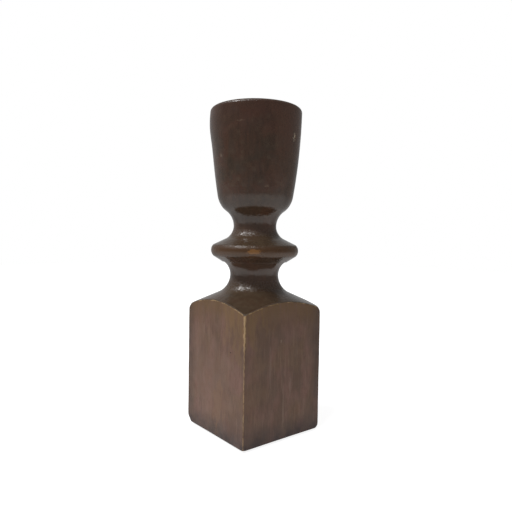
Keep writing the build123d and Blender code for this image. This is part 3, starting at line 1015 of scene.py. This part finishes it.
def brass(name, line_size, dullness, dirt_and_shade_below=None):
    """Turned brass with fine lines round it, browned in patches. Below the height given last it is black:
    dirt, with painted shade in the slot.
    """
    surface = Surface(name, Metallic=1.0, IOR=1.45)
    tarnish = surface.noise(4 * MM, detail=5.0, seed=30, warp=0.3)
    colour = surface.veil(BRASS, BRASS_TARNISH, tarnish, 0.40, 0.75)
    lines = surface.lathe_noise(line_size, detail=3.0, seed=31)
    colour = surface.veil(colour, BRASS_LINES, lines, 0.58, 0.8, 0.4)
    roughness = surface.between(tarnish, 0.3, 0.75, dullness, dullness + 0.22)
    if dirt_and_shade_below is not None:
        # Black below the head's top: dirt in the slot, with painted shade there.
        full, ends = DIRT_AND_SHADE_DEPTHS
        dirt_and_shade = surface.between(surface.along("Z"), dirt_and_shade_below - full, dirt_and_shade_below - ends, 0.95, 0.0)
        colour = surface.blend(dirt_and_shade, colour, BLACK_DIRT_AND_SHADE)
        roughness = surface.greater(roughness, dirt_and_shade)
    return surface.finish(colour, roughness, surface.bump(lines, 0.012 * MM))


def baize():
    """Green woollen felt: matted fibres with a soft sheen."""
    surface = Surface("baize", IOR=1.4, Sheen_Weight=0.35, Sheen_Roughness=0.5)
    clumps = surface.noise(2.5 * MM, detail=4.0, seed=40)
    colour = surface.blend(clumps, BAIZE_DARK, BAIZE_GREEN)
    fibres = surface.noise((0.18 * MM, 0.9 * MM, 0.18 * MM), detail=4.0, seed=41, warp=2.0)
    colour = surface.veil(colour, BAIZE_FIBRES, fibres, 0.55, 0.75, 0.6)
    roughness = surface.between(clumps, 0.2, 0.8, 0.88, 1.0)
    return surface.finish(colour, roughness, surface.bump(fibres, 0.10 * MM))


def dress(piece, *materials):
    """Gives a new piece its materials, in the order of its faces' numbers."""
    for material in materials:
        piece.data.materials.append(material)


# ---- The studio ---- The camera stands a little above the middle of the candlestick, turned to its
# left, and looks at it over one of the block's upright edges.
CAMERA_AZIMUTH = -38.4
CAMERA_DISTANCE = 261.8 * MM
CAMERA_Z = BLOCK_Z + 102.6 * MM
CAMERA_PAN = -0.18
CAMERA_DOWN = 2.33
CAMERA_ROLL = 0.90
CAMERA_LENS = 34.08
CAMERA_CLIP = 0.01

LIGHT_DISTANCE = 8.0
WINDOW = {"azimuth": -115, "elevation": 52, "width": 3.4, "height": 1.0, "radiance": 33.0}
SOFTBOX = {"azimuth": -70, "elevation": 61, "width": 1.1, "height": 1.1, "radiance": 38.0}

# The bright wall is behind the candlestick and to the left. Its light is full up to one elevation, gone
# at another, and grows with the cosine of the angle from its middle.
ROOM_BRIGHT, ROOM_DIM = 0.46, 0.27
BRIGHT_WALL_AZIMUTH = CAMERA_AZIMUTH - 155
BRIGHT_WALL_ELEVATIONS = (15, 50)
BRIGHT_WALL_COSINES = (0.2, 0.9)

# The floor is a disc whose middle lies this far behind the candlestick, as the camera sees it.
FLOOR_BACK = 0.6
FLOOR_RADIUS = 1.0
FLOOR_GREYS = ((0.42, 0.42, 0.42, 1), (0.46, 0.46, 0.46, 1))
# Its glow towards the camera's side, behind the candlestick and as the camera sees it, and how far in
# front of the candlestick the first takes over from the second
FLOOR_GLOW, FLOOR_GLOW_BEHIND, FLOOR_GLOW_SEEN = 0.80, 0.10, 0.87
FLOOR_GLOW_FADE = (-0.20, 0.05)


def towards(azimuth, elevation):
    """The direction from the object to a place at that azimuth and elevation."""
    turn, rise = math.radians(azimuth), math.radians(elevation)
    return Vector((math.sin(turn) * math.cos(rise), -math.cos(turn) * math.cos(rise), math.sin(rise)))


def make_light(name, azimuth, elevation, width, height, radiance):
    """A soft rectangular light that faces the object."""
    data = bpy.data.lights.new(name, "AREA")
    data.shape = "RECTANGLE"
    data.size, data.size_y = width, height
    data.energy = radiance * math.pi * width * height
    lamp = bpy.data.objects.new(name, data)
    direction = towards(azimuth, elevation)
    lamp.location = Vector((0, 0, CUP_TOP_Z / 2)) + LIGHT_DISTANCE * direction
    lamp.rotation_euler = direction.to_track_quat("Z", "Y").to_euler()
    bpy.context.scene.collection.objects.link(lamp)


def make_floor():
    """A wide pale table top, which ends a little way in front of the candlestick.

    It glows, as a light table does, so that shadows on it stay soft. Behind the candlestick nearly all of
    the glow shows only to the camera.
    """
    centre = towards(CAMERA_AZIMUTH, 0) * -FLOOR_BACK
    bpy.ops.mesh.primitive_circle_add(vertices=96, radius=FLOOR_RADIUS, fill_type="NGON", location=centre)
    floor = bpy.context.object
    floor.name = "floor"
    surface = Surface("pale_floor", Emission_Color=(1, 1, 1, 1), Roughness=0.85)
    position = surface.node("ShaderNodeNewGeometry").outputs["Position"]
    forward = surface.dot(position, towards(CAMERA_AZIMUTH, 0))
    glow = surface.between(forward, *FLOOR_GLOW_FADE, FLOOR_GLOW_BEHIND, FLOOR_GLOW)
    glow = surface.greater(glow, surface.times(surface.to_camera(), FLOOR_GLOW_SEEN))
    surface.feed(surface.shader.inputs["Emission Strength"], glow)
    tone = surface.noise(0.4)
    surface.feed(surface.shader.inputs["Base Color"], surface.blend(tone, *FLOOR_GREYS))
    dress(floor, surface.material)


def make_room():
    """White for the camera. For light and gloss, a bright wall and dim elsewhere."""
    world = bpy.data.worlds.new("room")
    bpy.context.scene.world = world
    world.use_nodes = True
    room = Nodes(world.node_tree, "Generated")
    full, gone = [math.sin(math.radians(elevation)) for elevation in BRIGHT_WALL_ELEVATIONS]
    low_down = room.between(room.along("Z"), full, gone, 1.0, 0.0)
    wallward = room.dot(room.place, towards(BRIGHT_WALL_AZIMUTH, 0))
    on_wall = room.between(wallward, *BRIGHT_WALL_COSINES)
    strength = room.between(room.times(low_down, on_wall), 0.0, 1.0, ROOM_DIM, ROOM_BRIGHT)
    background = world.node_tree.nodes["Background"]
    room.feed(background.inputs["Strength"], room.greater(room.to_camera(), strength))
    background.inputs["Color"].default_value = (1, 1, 1, 1)


def make_camera():
    """The camera, aimed a little down and tilted."""
    data = bpy.data.cameras.new("camera")
    data.lens = CAMERA_LENS
    data.clip_start = CAMERA_CLIP
    camera = bpy.data.objects.new("camera", data)
    place = towards(CAMERA_AZIMUTH, 0) * CAMERA_DISTANCE + Vector((0, 0, CAMERA_Z))
    turns = (
        Matrix.Rotation(math.radians(CAMERA_AZIMUTH + CAMERA_PAN), 4, "Z")
        @ Matrix.Rotation(math.radians(90 - CAMERA_DOWN), 4, "X")
        @ Matrix.Rotation(math.radians(CAMERA_ROLL), 4, "Z")
    )
    camera.matrix_world = Matrix.Translation(place) @ turns
    bpy.context.scene.collection.objects.link(camera)
    bpy.context.scene.camera = camera


make_block()
make_stem()
make_liner()
finish_screw()
make_felt()

make_floor()
make_room()
make_light("window", **WINDOW)
make_light("softbox", **SOFTBOX)
make_camera()
bpy.context.scene.view_settings.view_transform = "Standard"
